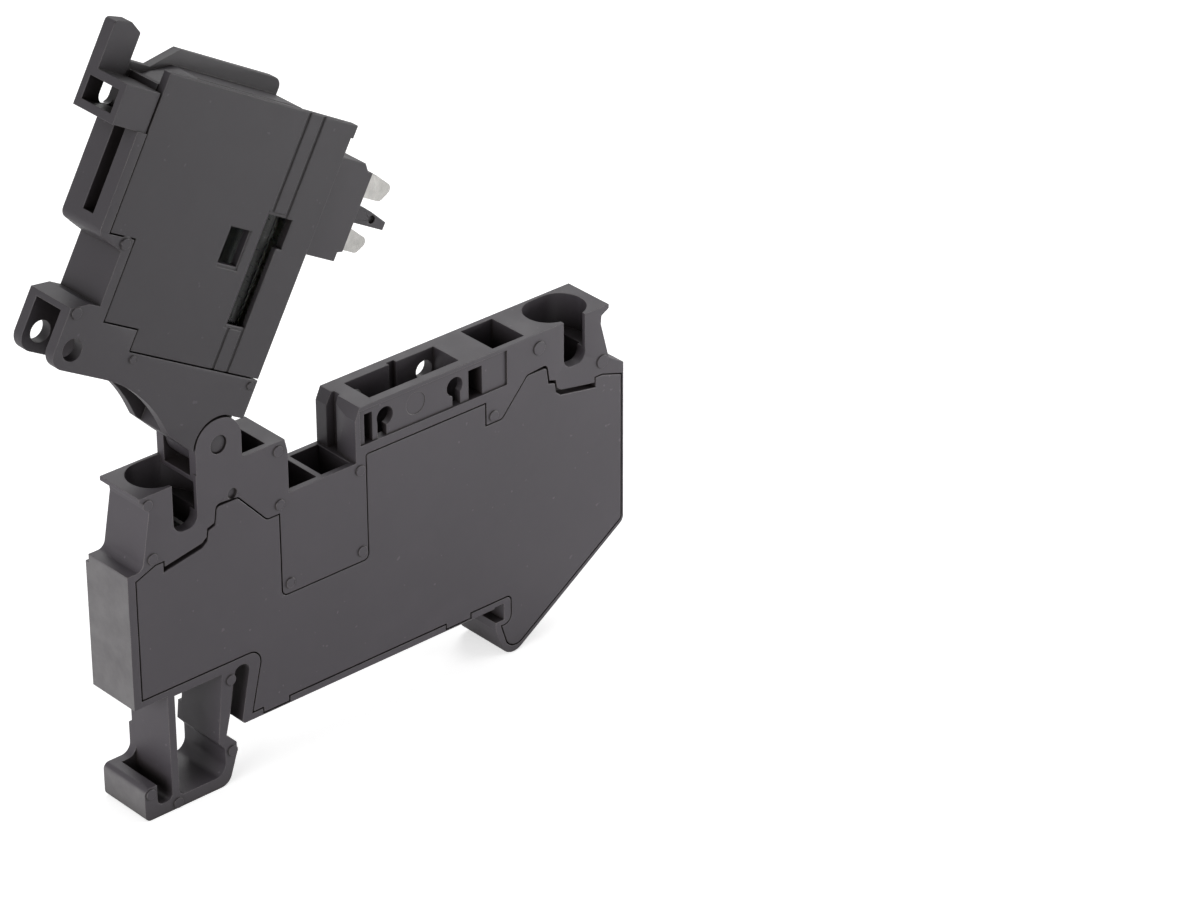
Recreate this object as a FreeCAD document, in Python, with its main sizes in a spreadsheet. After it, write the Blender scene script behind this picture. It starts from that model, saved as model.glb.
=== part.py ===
import FreeCAD, Part
import math
import os
import re
import Sketcher

# Fuse terminal block for a 35 mm top hat rail, drawn in millimetres.
# X runs along the block, Y from the cover side to the label side, Z up.
# The origin is on the rail seat, on the rail's centre line and in the middle of the thickness.
# The fuse lever is drawn closed and then turned open about its hinge.

SIZES = {
    # Layers through the thickness
    "body_thick": 6.5,
    "cover_thick": 1.0,
    "back_step": 0.5,
    "back_wall": 1.2,
    "ear_thick": 1.05,
    "pocket_floor": 0.2,
    "floor_front": -0.8,
    "seam_gap": 0.13,
    "core_middle": -0.3,
    # Outline of the block
    "end_left": 7.0,
    "end_right": 6.5,
    "top_level": 28.95,
    "left_floor": 6.75,
    "wall_top_left": 21.3,
    "wall_top_right": 21.8,
    "shoulder_inset_left": 1.8,
    "shoulder_inset_right": 1.95,
    "shoulder_cut": 1.2,
    "shoulder_lip": 0.45,
    "shoulder_neck": 1.05,
    "shoulder_low": 27.1,
    "notch_wall_left": 2.2,
    "notch_wall_right": 2.6,
    "notch_floor": 23.1,
    "notch_chamfer": 1.3,
    "chamfer_run": 0.6,
    "rim": 0.9,
    # Fixed rail foot
    "rail_right": 17.57,
    "rail_slot": 1.72,
    "rail_relief": 0.15,
    "hook_tip": 16.5,
    "hook_low": -2.6,
    "hook_nose_across": 17.9,
    "hook_nose_level": -6.9,
    "hook_nose_round": 1.7,
    "heel_level": 3.7,
    "heel_round": 1.0,
    # Spring rail foot
    "rail_left": -17.52,
    "blade_outer": -24.25,
    "blade_thick": 0.85,
    "foot_bottom": -6.05,
    "foot_bar": 1.3,
    "foot_round": 1.4,
    "toe_across": -17.4,
    "catch_tip": -16.36,
    "catch_low": -2.9,
    "catch_high": -1.6,
    "catch_root": -0.5,
    "knee_across": -17.0,
    "knee_level": 1.6,
    "slot_left": -16.1,
    "slot_right": -14.3,
    "slot_top": 6.6,
    "slot_foot": -15.6,
    "slot_round": 0.75,
    "window_right": -17.75,
    "window_waist": -18.5,
    "waist_level": -1.0,
    "lug_left": -27.5,
    "lug_inner": -26.0,
    "lug_top": -2.4,
    "lug_web": 1.0,
    "lug_rise": 1.1,
    # Hinge
    "hinge_across": -16.92,
    "hinge_rise": 2.31,
    "ear_radius": 2.68,
    "pin_radius": 0.9,
    "pin_play": 0.05,
    "hub_radius": 2.5,
    "hub_play": 0.12,
    "lever_arc": 2.95,
    "open_angle": 60.5,
    # Wire entries and tool pockets
    "entry_from_hinge": 4.18,
    "entry_from_tool": 6.05,
    "funnel_wide": 5.3,
    "funnel_long_left": 7.2,
    "funnel_long_right": 6.7,
    "funnel_shift": 0.3,
    "entry_across": -0.25,
    "entry_slot": 2.8,
    "entry_slot_floor": 23.73,
    "throat_reach": 1.75,
    "throat_level": 25.2,
    "tool_thin_wall": 0.62,
    "tool_from_hinge": 2.62,
    "tool_left_wide": 3.2,
    "tool_from_socket": 4.0,
    "tool_right_wide": 4.0,
    # Fuse socket and its front windows
    "socket_near": 0.3,
    "socket_far": 1.15,
    "window_low": 24.75,
    "window_high": 27.88,
    "probe_inset": 1.2,
    "probe_level": 26.8,
    "probe_radius": 1.0,
    "panel_depth": 0.2,
    "groove_deep": 0.9,
    "groove_from": -0.05,
    "groove_to": 1.15,
    # Chamber for the metal parts
    "cavity_wall": 1.5,
    "cavity_below": 6.8,
    "cavity_above": 2.5,
    # Cover seam, its wavy part measured outwards from the middle of each wire entry
    "seam_inset_left": 0.9,
    "seam_inset_right": 0.2,
    "seam_bottom": 0.71,
    "cover_tab_drop": 0.6,
    "cover_tab_left": -13.0,
    "cover_tab_right": 10.0,
    "cover_tab_long": 3.35,
    "seam_left_floor": 7.42,
    "seam_wall_top": 20.6,
    "wave_outer": 2.65,
    "wave_foot": 20.4,
    "wave_knee": -1.75,
    "wave_knee_level": 21.2,
    "wave_jog": -2.45,
    "wave_jog_level": 23.0,
    "wave_head": -3.55,
    "wave_crest": 24.9,
    "wave_slope": -6.2,
    "wave_inner": -9.5,
    "wave_low": 21.25,
    "wave_relief": 0.42,
    "patch_side": 1.15,
    "patch_floor": 12.2,
    "cover_shelf": 23.73,
    "shelf_reach": 2.6,
    # Back of the housing
    "plate_low": 9.1,
    "flange": 0.97,
    "tab_left": -9.85,
    "tab_right": -0.1,
    "tab_low": 4.9,
    "tab_round": 1.6,
    "label_inset": 1.2,
    "label_low": 9.9,
    "label_high": 22.4,
    "label_depth": 0.25,
    "dial_inset": 5.6,
    "dial_level": 7.3,
    "dial_radius": 2.9,
    # Lever moulding, drawn closed
    "lever_gap": 0.54,
    "lever_high": 25.05,
    "waist_wall": 3.35,
    "waist_high": 5.01,
    "hip_swell": 0.95,
    "neck_inset": 0.5,
    "neck_fall": 5.44,
    "marker_rise": 1.11,
    "marker_long": 9.82,
    "saddle_gap": 1.0,
    "saddle_fall": 3.23,
    "back_from_hinge": 3.74,
    "hip_rise": 11.44,
    "hip_round": 15.0,
    "knee_in": 0.18,
    "knee_rise": 6.34,
    "heel_in": 1.23,
    "heel_rise": 2.74,
    "grip_long": 6.48,
    "grip_fall": 4.34,
    "grip_ear": 1.2,
    "grip_web": 1.35,
    "ear_hole_in": 2.03,
    "ear_hole_fall": 1.94,
    "ear_hole_radius": 1.1,
    "latch_inset": 0.62,
    "latch_long": 3.83,
    "latch_rise": 2.96,
    "latch_wall": 0.8,
    "prong_reach": 4.82,
    "prong_fall": 0.34,
    "prong_thick": 1.45,
    "ridge_rise": 1.5,
    "ridge_thick": 1.05,
    "ridge_fall": 5.85,
    "ridge_long": 13.1,
    "ridge_root": 0.75,
    # Lever cover
    "lid_left_lip": 1.2,
    "lid_lip": 0.05,
    "lid_step_in": 2.12,
    "lid_step_fall": 4.24,
    "lid_shelf_out": 0.32,
    "lid_shelf_fall": 3.13,
    "sight_wide": 3.55,
    "sight_shift": 0.47,
    "sight_rise": 2.65,
    "sight_high": 2.5,
    "slit_left_reach": 6.66,
    "slit_right_reach": 4.15,
    "slit_half": 1.13,
    "slit_edge": 0.32,
    "lid_foot": 1.3,
    # Nose, blades and separator
    "nose_wall": 0.9,
    "nose_cheek": 1.0,
    "nose_deep": 5.44,
    "nose_chamfer": 0.6,
    "nose_front": -2.1,
    "nose_back": 1.3,
    "blade_plate": 0.8,
    "blade_play": 0.08,
    "blade_round": 0.6,
    "blade_taper": 0.7,
    "left_blade_inset": 7.8,
    "left_blade_wide": 2.2,
    "left_blade_reach": 4.15,
    "right_blade_inset": 0.1,
    "right_blade_wide": 2.4,
    "right_blade_reach": 4.65,
    "fin_gap": 0.6,
    "fin_wide": 1.7,
    "fin_reach": 5.15,
    "fin_thick": 1.2,
    # Fuse and its contacts
    "fuse_from_hinge": 7.92,
    "fuse_length": 20.0,
    "fuse_rise": 5.06,
    "fuse_cap_radius": 2.5,
    "fuse_cap_length": 3.2,
    "fuse_cap_wall": 0.2,
    "fuse_tube_radius": 2.25,
    "fuse_tube_wall": 0.4,
    "fuse_wire_radius": 0.12,
    "fuse_play": 0.12,
    "clip_play": 0.03,
    "clip_rise": 2.05,
    "strip_thick": 0.5,
    "strip_wide": 3.2,
    "strip_gap": 0.6,
    # Current bars, jaws and cage clamps
    "bar_thick": 0.9,
    "bar_wide": 2.0,
    "bar_inset": 2.5,
    "bar_gap": 0.45,
    "jaw_long": 2.3,
    "jaw_high": 4.2,
    "jaw_overlap": 1.7,
    "jaw_thick": 0.4,
    "jaw_wide": 3.0,
    "rivet_radius": 0.45,
    "rivet_play": 0.02,
    "rivet_head": 0.65,
    "rivet_head_high": 0.25,
    "clamp_thick": 0.45,
    "clamp_wide": 3.2,
    "clamp_window": 2.2,
    "clamp_reach": 9.2,
    "mark_height": 0.14,
    "mark_radius": 0.55,
}

# Places measured from their neighbours, so that a changed size moves what depends on it
PLACES = {
    "fuse_left": "hinge_across + fuse_from_hinge",
    "fuse_end": "fuse_left + fuse_length",
    "fuse_middle": "(fuse_left + fuse_end)/2",
    "fuse_level": "lever_bottom + fuse_rise",
    "strip_level": "fuse_level - fuse_cap_radius - strip_gap",
    "strip_top": "fuse_level + clip_rise",
    "left_blade_from": "fuse_end - left_blade_inset",
    "left_blade_to": "left_blade_from + left_blade_wide",
    "left_blade_low": "nose_low - left_blade_reach",
    "right_blade_to": "fuse_end - right_blade_inset",
    "right_blade_from": "right_blade_to - right_blade_wide",
    "right_blade_low": "nose_low - right_blade_reach",
    "fin_left": "left_blade_to + fin_gap",
    "fin_right": "fin_left + fin_wide",
    "fin_low": "nose_low - fin_reach",
    "nose_left": "left_blade_from - nose_cheek",
    "nose_right": "fuse_end + nose_wall",
    "nose_low": "lever_bottom - nose_deep",
    "nose_step": "nose_low + nose_chamfer",
    "socket_left": "nose_left - socket_near",
    "socket_right": "nose_right + socket_far",
    "probe_left": "socket_left + probe_inset",
    "probe_right": "socket_right - probe_inset",
    "shelf_right": "socket_right + shelf_reach",
    "tool_left_low": "hinge_across + tool_from_hinge",
    "tool_left_high": "tool_left_low + tool_left_wide",
    "tool_right_low": "socket_right + tool_from_socket",
    "tool_right_high": "tool_right_low + tool_right_wide",
    "notch_left": "tool_left_high + notch_wall_left",
    "notch_right": "socket_left - notch_wall_right",
    "patch_left": "notch_left - patch_side",
    "patch_right": "notch_right + patch_side",
    "entry_left": "hinge_across - entry_from_hinge",
    "entry_right": "tool_right_high + entry_from_tool",
    "block_left": "entry_left - end_left",
    "block_right": "entry_right + end_right",
    "shoulder_left": "block_left + shoulder_inset_left",
    "shoulder_right": "block_right - shoulder_inset_right",
    "seam_left": "block_left + seam_inset_left",
    "seam_right": "block_right - seam_inset_right",
    "cavity_left": "block_left + cavity_wall",
    "cavity_right": "block_right - cavity_wall",
    "cavity_floor": "bar_level - cavity_below",
    "cavity_top": "bar_level + cavity_above",
    "label_left": "entry_left + label_inset",
    "label_right": "nose_right",
    "dial_across": "block_right - dial_inset",
    "bar_left": "block_left + bar_inset",
    "bar_left_end": "fin_left - bar_gap",
    "bar_right_start": "fin_right + bar_gap",
    "bar_right": "block_right - bar_inset",
    "bar_level": "jaw_top - jaw_high",
    "jaw_top": "left_blade_low + jaw_overlap",
    "hinge_level": "top_level + hinge_rise",
    "lever_bottom": "top_level + lever_gap",
    "lever_top": "lever_bottom + lever_high",
    "lever_step": "lever_bottom + waist_high",
    "lever_waist": "fuse_end + waist_wall",
    "lever_right": "lever_waist + hip_swell",
    "lever_neck": "lever_waist - neck_inset",
    "lever_shoulder": "lever_top - neck_fall",
    "lever_left": "hinge_across + back_from_hinge",
    "lever_hip": "hinge_level + hip_rise",
    "lever_knee_across": "hinge_across - knee_in",
    "lever_knee_level": "hinge_level + knee_rise",
    "lever_heel_across": "hinge_across - heel_in",
    "lever_heel_level": "hinge_level + heel_rise",
    "latch_right": "lever_neck - latch_inset",
    "latch_base": "lever_top - marker_rise",
    "latch_top": "lever_top + latch_rise",
    "prong_tip": "latch_right + prong_reach",
    "prong_low": "lever_top - prong_fall",
    "ridge_right": "lever_right + ridge_rise",
    "ridge_high": "lever_top - ridge_fall",
    "ridge_low": "ridge_high - ridge_long",
    "marker_right": "latch_right - latch_long",
    "marker_left": "marker_right - marker_long",
    "saddle_left": "lever_left + grip_long",
    "saddle_right": "marker_left - saddle_gap",
    "saddle_floor": "lever_top - saddle_fall",
    "grip_floor": "lever_top - grip_fall",
    "ear_hole_across": "lever_left + ear_hole_in",
    "ear_hole_level": "lever_top - ear_hole_fall",
    "lid_left": "fuse_left - lid_left_lip",
    "lid_right": "lever_right - lid_lip",
    "lid_shelf": "latch_base - lid_shelf_fall",
    "lid_shelf_end": "marker_left + lid_shelf_out",
    "lid_step": "lid_shelf - lid_step_fall",
    "lid_step_across": "lid_left + lid_step_in",
    "sight_left": "fuse_middle + sight_shift - sight_wide/2",
    "sight_right": "sight_left + sight_wide",
    "sight_low": "fuse_level + sight_rise",
    "slit_left": "fuse_middle - slit_left_reach",
    "slit_right": "fuse_middle + slit_right_reach",
    "slit_low": "fuse_level - slit_half",
    "slit_high": "fuse_level + slit_half",
}

FRONT = "-body_thick/2"
COVER_IN = "-body_thick/2 + cover_thick"
BACK = "body_thick/2"
PLATE_BACK = "body_thick/2 - back_step"
CAVITY_BACK = "body_thick/2 - back_step - back_wall"
ABOVE = "latch_top"

PLANES = {"side": "XZ_Plane", "top": "XY_Plane", "end": "YZ_Plane"}

doc = FreeCAD.newDocument("fuse_terminal_block")


def fill_sheet():
    """Write each driving size into the spreadsheet under its alias."""
    table = doc.addObject("Spreadsheet::Sheet", "Sizes")
    for row, (alias, size) in enumerate(SIZES.items(), start=1):
        table.set(f"A{row}", alias)
        table.set(f"B{row}", str(size))
        table.setAlias(f"B{row}", alias)
    doc.recompute()
    return table


sheet = fill_sheet()


def cells(text):
    """Turn sizes into references to the sheet, and places into what they are measured from."""
    def reference(match):
        word = match.group(1)
        return f"({cells(PLACES[word])})" if word in PLACES else f"Sizes.{word}"

    return re.sub(r"\b([a-z][a-z_]*)\b(?!\()", reference, str(text))


def number(text):
    """Work out an expression of aliases with the sheet's present values."""
    return float(sheet.evalExpression(cells(text)))


def bind(item, path, text):
    """Drive one property of an object by an expression of aliases."""
    item.setExpression(path, cells(text))


class Loop:
    """Collects the lines, arcs and named sizes of one closed or open outline in a sketch."""

    def __init__(self, sketch, corners, closed=True):
        self.sketch = sketch
        self.corners = [(c[0], c[1], c[2] if len(c) > 2 else None) for c in corners]
        self.closed = closed
        self.rules = []
        self.driven = []
        self.draw()

    def rule(self, *parts):
        self.rules.append(Sketcher.Constraint(*parts))

    def drive(self, text, *parts):
        self.driven.append((len(self.rules), text))
        self.rule(*parts)

    def add(self, shape, guide=False):
        return self.sketch.addGeometry(shape, guide)

    def trim(self, index, points):
        """Tangent points of the arc at a rounded corner, before and after it."""
        here = points[index]
        if self.corners[index][2] is None:
            return here, here
        before = points[index - 1] - here
        after = points[(index + 1) % len(points)] - here
        reach = number(self.corners[index][2]) / math.tan(before.getAngle(after) / 2)
        before.normalize()
        after.normalize()
        return here + before * reach, here + after * reach

    def draw(self):
        points = [FreeCAD.Vector(number(x), number(z), 0) for x, z, _ in self.corners]
        trims = [self.trim(i, points) for i in range(len(points))]
        count = len(points)
        spans = count if self.closed else count - 1
        lines = []
        for i in range(spans):
            lines.append(self.add(Part.LineSegment(trims[i][1], trims[(i + 1) % count][0])))
        for i, (x, z, radius) in enumerate(self.corners):
            before = lines[i - 1] if self.closed or i > 0 else None
            after = lines[i] if i < spans else None
            if radius is None:
                self.sharp(before, after, x, z, points[i])
            else:
                self.rounded(before, after, x, z, radius, points[i], trims[i])
        first = self.sketch.ConstraintCount
        self.sketch.addConstraint(self.rules)
        for index, text in self.driven:
            bind(self.sketch, f"Constraints[{first + index}]", text)

    def sharp(self, before, after, x, z, point):
        if before is not None and after is not None:
            self.rule("Coincident", before, 2, after, 1)
        line, end = (after, 1) if after is not None else (before, 2)
        self.drive(x, "DistanceX", line, end, point.x)
        self.drive(z, "DistanceY", line, end, point.y)

    def rounded(self, before, after, x, z, radius, point, ends):
        size = number(radius)
        inward = (ends[0] - point) + (ends[1] - point)
        inward.normalize()
        reach = (size ** 2 + (ends[0] - point).Length ** 2) ** 0.5
        centre = point + inward * reach
        middle = centre - inward * size
        arc = self.add(Part.Arc(ends[0], middle, ends[1]))
        turns_left = (point - ends[0]).cross(ends[1] - point).z > 0
        start, stop = (1, 2) if turns_left else (2, 1)
        corner = self.add(Part.Point(point), True)
        self.drive(x, "DistanceX", corner, 1, point.x)
        self.drive(z, "DistanceY", corner, 1, point.y)
        self.rule("PointOnObject", corner, 1, before)
        self.rule("PointOnObject", corner, 1, after)
        self.rule("Tangent", before, 2, arc, start)
        self.rule("Tangent", after, 1, arc, stop)
        self.drive(radius, "Radius", arc, size)


def draw_circle(sketch, across, level, radius):
    """Add a circle given by its centre and radius."""
    centre = FreeCAD.Vector(number(across), number(level), 0)
    ring = sketch.addGeometry(Part.Circle(centre, FreeCAD.Vector(0, 0, 1), number(radius)), False)
    first = sketch.ConstraintCount
    sketch.addConstraint([
        Sketcher.Constraint("DistanceX", ring, 3, centre.x),
        Sketcher.Constraint("DistanceY", ring, 3, centre.y),
        Sketcher.Constraint("Radius", ring, number(radius)),
    ])
    for step, text in enumerate((across, level, radius)):
        bind(sketch, f"Constraints[{first + step}]", text)


def fill_sketch(sketch, loops):
    """Draw each loop: a tuple that starts with circle, or a list of corners."""
    for loop in loops:
        if loop[0] == "circle":
            draw_circle(sketch, *loop[1:])
        else:
            Loop(sketch, loop)


def box(low, high, floor, ceiling):
    """Corners of an upright rectangle."""
    return [(low, floor), (high, floor), (high, ceiling), (low, ceiling)]


class Piece:
    """One moulded or stamped piece, built as a body from pads and pockets."""

    def __init__(self, name):
        self.name = name
        self.body = doc.addObject("PartDesign::Body", name)
        self.body.Label = name
        self.steps = []

    def profile(self, step, view, level, loops):
        sketch = self.body.newObject("Sketcher::SketchObject", f"{self.name}_{step}_sketch")
        planes = {item.Role: item for item in self.body.Origin.OriginFeatures}
        sketch.AttachmentSupport = [(planes[PLANES[view]], "")]
        sketch.MapMode = "FlatFace"
        bind(sketch, "AttachmentOffset.Base.z", f"-({level})" if view == "side" else level)
        fill_sketch(sketch, loops)
        return sketch

    def feature(self, kind, step, view, low, high, loops, from_high):
        sketch = self.profile(step, view, high if from_high else low, loops)
        item = self.body.newObject(kind, f"{self.name}_{step}")
        item.Profile = sketch
        bind(item, "Length", f"({high}) - ({low})")
        sketch.Visibility = False
        self.steps.append((item, kind.endswith("Pocket")))
        return item

    def pad(self, step, view, low, high, *loops):
        """Add material between two levels along the view's axis."""
        return self.feature("PartDesign::Pad", step, view, low, high, loops, view == "side")

    def cut(self, step, view, low, high, *loops):
        """Remove material between two levels along the view's axis."""
        return self.feature("PartDesign::Pocket", step, view, low, high, loops, view != "side")


def shoulder(sign, edge):
    """Lip, neck and slope at the outer end of the top, from the top corner down."""
    side = "-" if sign > 0 else "+"
    neck = f"{edge} {side} shoulder_neck"
    lip = f"{edge} {side} (shoulder_neck - 0.2*shoulder_lip)"
    return [
        (edge, "top_level"),
        (edge, "top_level - shoulder_lip"),
        (lip, "top_level - shoulder_lip - shoulder_neck/2"),
        (neck, "shoulder_low"),
    ]


def housing_outline():
    """Side view of the whole moulding, anticlockwise from the lower left corner."""
    left = [(x, z) for x, z in reversed(shoulder(-1, "shoulder_left"))]
    return [
        ("block_left", "left_floor"),
        ("blade_outer", "left_floor"),
        ("blade_outer", "lug_top", "lug_rise"),
        ("lug_left", "lug_top", "foot_bar/2"),
        ("lug_left", "foot_bottom", "foot_bar/2"),
        ("toe_across", "foot_bottom", "foot_round"),
        ("catch_tip", "catch_low", "0.3*foot_bar"),
        ("catch_tip", "catch_high", "0.3*foot_bar"),
        ("rail_left", "catch_root"),
        ("knee_across", "knee_level"),
        ("slot_left", "slot_top", "slot_round"),
        ("slot_right", "slot_top", "slot_round"),
        ("slot_foot", "0*body_thick", "slot_round/2"),
        ("hook_tip - rail_relief", "0*body_thick"),
        ("hook_tip - rail_relief", "rail_relief"),
        ("rail_right", "rail_relief"),
        ("rail_right", "-rail_slot"),
        ("hook_tip", "-rail_slot"),
        ("hook_tip", "hook_low"),
        ("hook_nose_across", "hook_nose_level", "hook_nose_round"),
        ("block_right", "heel_level", "heel_round"),
        ("block_right", "wall_top_right"),
        ("shoulder_right", "wall_top_right + shoulder_cut"),
    ] + list(reversed(shoulder(1, "shoulder_right"))) + [
        ("notch_right + chamfer_run", "top_level"),
        ("notch_right", "top_level - notch_chamfer"),
        ("notch_right", "notch_floor"),
        ("notch_left", "notch_floor"),
        ("notch_left", "top_level - notch_chamfer"),
        ("notch_left - chamfer_run/2", "top_level"),
    ] + list(reversed(left)) + [
        ("shoulder_left", "wall_top_left", "rim"),
        ("block_left", "wall_top_left"),
    ]


def wave(side, relief):
    """Stepped seam under one wire entry, from the middle of the block outwards."""
    outward = "+" if side == "right" else "-"

    def at(reach):
        return f"entry_{side} {outward} ({reach})"

    return [
        (at("wave_inner"), "wave_low", "mark_radius"),
        (at("wave_slope"), "wave_crest", "mark_radius"),
        (at("wave_head"), f"wave_crest + {relief}/2", "mark_radius"),
        (at("wave_head + 0.3*rim"), f"wave_jog_level + {relief}/2"),
        (at("wave_jog"), f"wave_jog_level - 0.3*rim + {relief}/2"),
        (at("wave_jog + 0.15*rim"), f"wave_knee_level + 0.5*rim + {relief}"),
        (at("wave_knee"), f"wave_knee_level + {relief}"),
        (at("wave_outer"), f"wave_foot + {relief}"),
        (at("wave_outer"), "wave_foot + shoulder_neck"),
        (at("wave_outer + shoulder_neck"), "wave_foot + shoulder_neck"),
    ]


def cover_tab(low):
    """Flush tab that hangs from the lower edge of the cover."""
    return [
        (low, "seam_bottom"),
        (low, "seam_bottom - cover_tab_drop"),
        (f"{low} + cover_tab_long", "seam_bottom - cover_tab_drop"),
        (f"{low} + cover_tab_long", "seam_bottom"),
    ]


def seam_outline(relief):
    """Edge of the side cover; relief opens the gap below the wire entries."""
    return [
        ("seam_left", "seam_left_floor"),
        ("slot_right + 1.7*rim", "seam_left_floor", "1.4*rim"),
        ("slot_foot + 1.4*rim", "seam_bottom"),
    ] + cover_tab("cover_tab_left") + cover_tab("cover_tab_right") + [
        ("rail_right + rim", "seam_bottom", "0.6*rim"),
        ("rail_right + rim", "-rail_slot - 0.6*rim", "rim"),
        ("hook_tip + 0.7*rim", "-rail_slot - 0.6*rim"),
        ("hook_nose_across + 0.5*rim", "hook_nose_level + 0.9*rim", "hook_nose_round - 0.3*rim"),
        ("seam_right", "heel_level + 0.3*rim", "heel_round - 0.3*rim"),
        ("seam_right", "seam_wall_top"),
    ] + list(reversed(wave("right", relief))) + [
        ("shelf_right", "wave_low"),
        ("shelf_right", "cover_shelf"),
        ("patch_right", "cover_shelf", "0.4*rim"),
        ("patch_right", "patch_floor", "0.6*rim"),
        ("patch_left", "patch_floor", "0.6*rim"),
        ("patch_left", "wave_low"),
    ] + wave("left", relief) + [
        ("seam_left", "seam_wall_top - 0.1*rim"),
    ]


def back_pocket_outline():
    """Open pocket in the lower back, between the rim, the plate and the hanging tab."""
    return [
        ("block_left + rim", "left_floor + rim"),
        ("slot_right + 1.3*rim", "left_floor + rim", "rim"),
        ("slot_foot + rim", "flange"),
        ("rail_right + rim", "flange"),
        ("rail_right + rim", "-rail_slot - 0.5*rim"),
        ("hook_tip + rim", "-rail_slot - rim"),
        ("hook_nose_across + 0.7*rim", "hook_nose_level + 1.5*rim", "rim"),
        ("block_right - rim", "heel_level + 0.7*rim"),
        ("block_right - rim", "wall_top_left - 5*rim"),
        ("block_right - 3*rim", "wall_top_left - 6*rim"),
        ("block_right - 5*rim", "plate_low + 6*rim"),
        ("block_right - 5.4*rim", "plate_low"),
        ("tab_right", "plate_low"),
        ("tab_right - 0.3*rim", "tab_low + rim"),
        ("tab_right - rim", "tab_low"),
        ("(tab_left + tab_right)/2 + tab_round", "tab_low"),
        ("(tab_left + tab_right)/2 + 0.7*tab_round", "tab_low - tab_round", "0.6*tab_round"),
        ("(tab_left + tab_right)/2 - 0.7*tab_round", "tab_low - tab_round", "0.6*tab_round"),
        ("(tab_left + tab_right)/2 - tab_round", "tab_low"),
        ("tab_left + rim", "tab_low"),
        ("tab_left", "tab_low + rim"),
        ("tab_left", "plate_low"),
        ("block_left + 6.6*rim", "plate_low"),
        ("block_left + 4.6*rim", "plate_low + rim"),
        ("block_left + 4.6*rim", "plate_low + 6*rim"),
        ("block_left + 3*rim", "plate_low + 8*rim"),
        ("block_left + rim", "plate_low + 8*rim"),
    ]


def upper_back_outline():
    """Face of the raised back plate, set back from the rim and open to the top."""
    return [
        ("block_left + rim", "flange"),
        ("block_right - rim", "flange"),
        ("block_right - rim", "wall_top_left - rim"),
        ("block_right + rim", "wall_top_left - rim"),
        ("block_right + rim", "top_level + rim"),
        ("block_left - rim", "top_level + rim"),
        ("block_left - rim", "wall_top_left - rim"),
        ("block_left + rim", "wall_top_left - rim"),
    ]


def housing_marks():
    """Centres of the small raised ejector marks on the front."""
    return [
        ("shoulder_left + rim", "shoulder_low + rim"),
        ("shoulder_left + 1.3*rim", "wall_top_left + rim"),
        ("notch_left - 1.3*rim", "shoulder_low + rim"),
        ("notch_left - 1.3*rim", "notch_floor - rim"),
        ("patch_right - 0.8*rim", "notch_floor - rim"),
        ("patch_left + rim", "patch_floor + 1.2*rim"),
        ("patch_right - 0.8*rim", "patch_floor + 1.2*rim"),
        ("slot_left - 0.7*rim", "slot_top - 1.2*rim"),
        ("shelf_right + rim", "wave_low + 0.8*rim"),
        ("catch_tip - 0.6*rim", "catch_low + 0.6*rim"),
        ("blade_outer + 0.7*rim", "foot_bottom + 0.7*rim"),
        ("lug_left + 0.8*rim", "lug_top - 0.8*rim"),
    ]


def housing_shell(part):
    """Outer block, back relief and the cavity behind the cover."""
    part.pad("block", "side", FRONT, BACK, housing_outline())
    part.cut("back_plate", "side", PLATE_BACK, BACK, upper_back_outline())
    part.cut("back_pocket", "side", "pocket_floor", BACK, back_pocket_outline())
    part.cut("cover_recess", "side", FRONT, COVER_IN, seam_outline("wave_relief"))
    part.cut("cavity", "side", COVER_IN, CAVITY_BACK,
             box("cavity_left", "cavity_right", "cavity_floor", "cavity_top"))
    part.cut("lower_cavity", "side", COVER_IN, "floor_front", [
        ("seam_left + rim", "seam_left_floor + rim"),
        ("slot_right + 2.5*rim", "seam_left_floor + rim", "1.4*rim"),
        ("slot_foot + 2.5*rim", "seam_bottom + rim", "0.6*rim"),
        ("rail_right + 2*rim", "seam_bottom + rim", "0.6*rim"),
        ("rail_right + 2*rim", "-rail_slot - rim", "0.6*rim"),
        ("hook_nose_across + 2.5*rim", "hook_nose_level + 3.2*rim", "0.6*rim"),
        ("seam_right - rim", "heel_level + rim", "0.6*rim"),
        ("seam_right - rim", "plate_low"),
        ("seam_left + rim", "plate_low"),
    ])
    part.cut("label", "side", "body_thick/2 - back_step - label_depth", PLATE_BACK, [
        ("label_left", "label_low", "2*rim"),
        ("label_right", "label_low", "2*rim"),
        ("label_right", "label_high", "2*rim"),
        ("label_left", "label_high", "2*rim"),
    ])


def housing_feet(part):
    """Window of the spring foot and the tool slot in its lug."""
    part.cut("foot_window", "side", FRONT, BACK, [
        ("blade_outer + blade_thick", "foot_bottom + foot_bar", "foot_bar/2"),
        ("window_right", "foot_bottom + foot_bar", "foot_bar"),
        ("window_right", "waist_level - rim", "foot_bar/2"),
        ("window_waist", "waist_level"),
        ("window_right", "left_floor - 0.3*rim"),
        ("blade_outer + blade_thick", "left_floor - 0.3*rim"),
    ])
    part.cut("lug_slot", "side", FRONT, "body_thick/2 - lug_web", [
        ("lug_inner", "foot_bottom + foot_bar", "foot_bar/2"),
        ("blade_outer", "foot_bottom + foot_bar", "foot_bar/2"),
        ("blade_outer", "left_floor"),
        ("lug_inner", "left_floor"),
    ])


def funnel(across, long):
    """Long-rounded mouth of one wire entry, seen from above."""
    corner = "0.49*funnel_wide"
    return [(x, y, corner) for x, y in box(f"{across} - {long}/2", f"{across} + {long}/2",
                                           "entry_across - funnel_wide/2", "entry_across + funnel_wide/2")]


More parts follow.
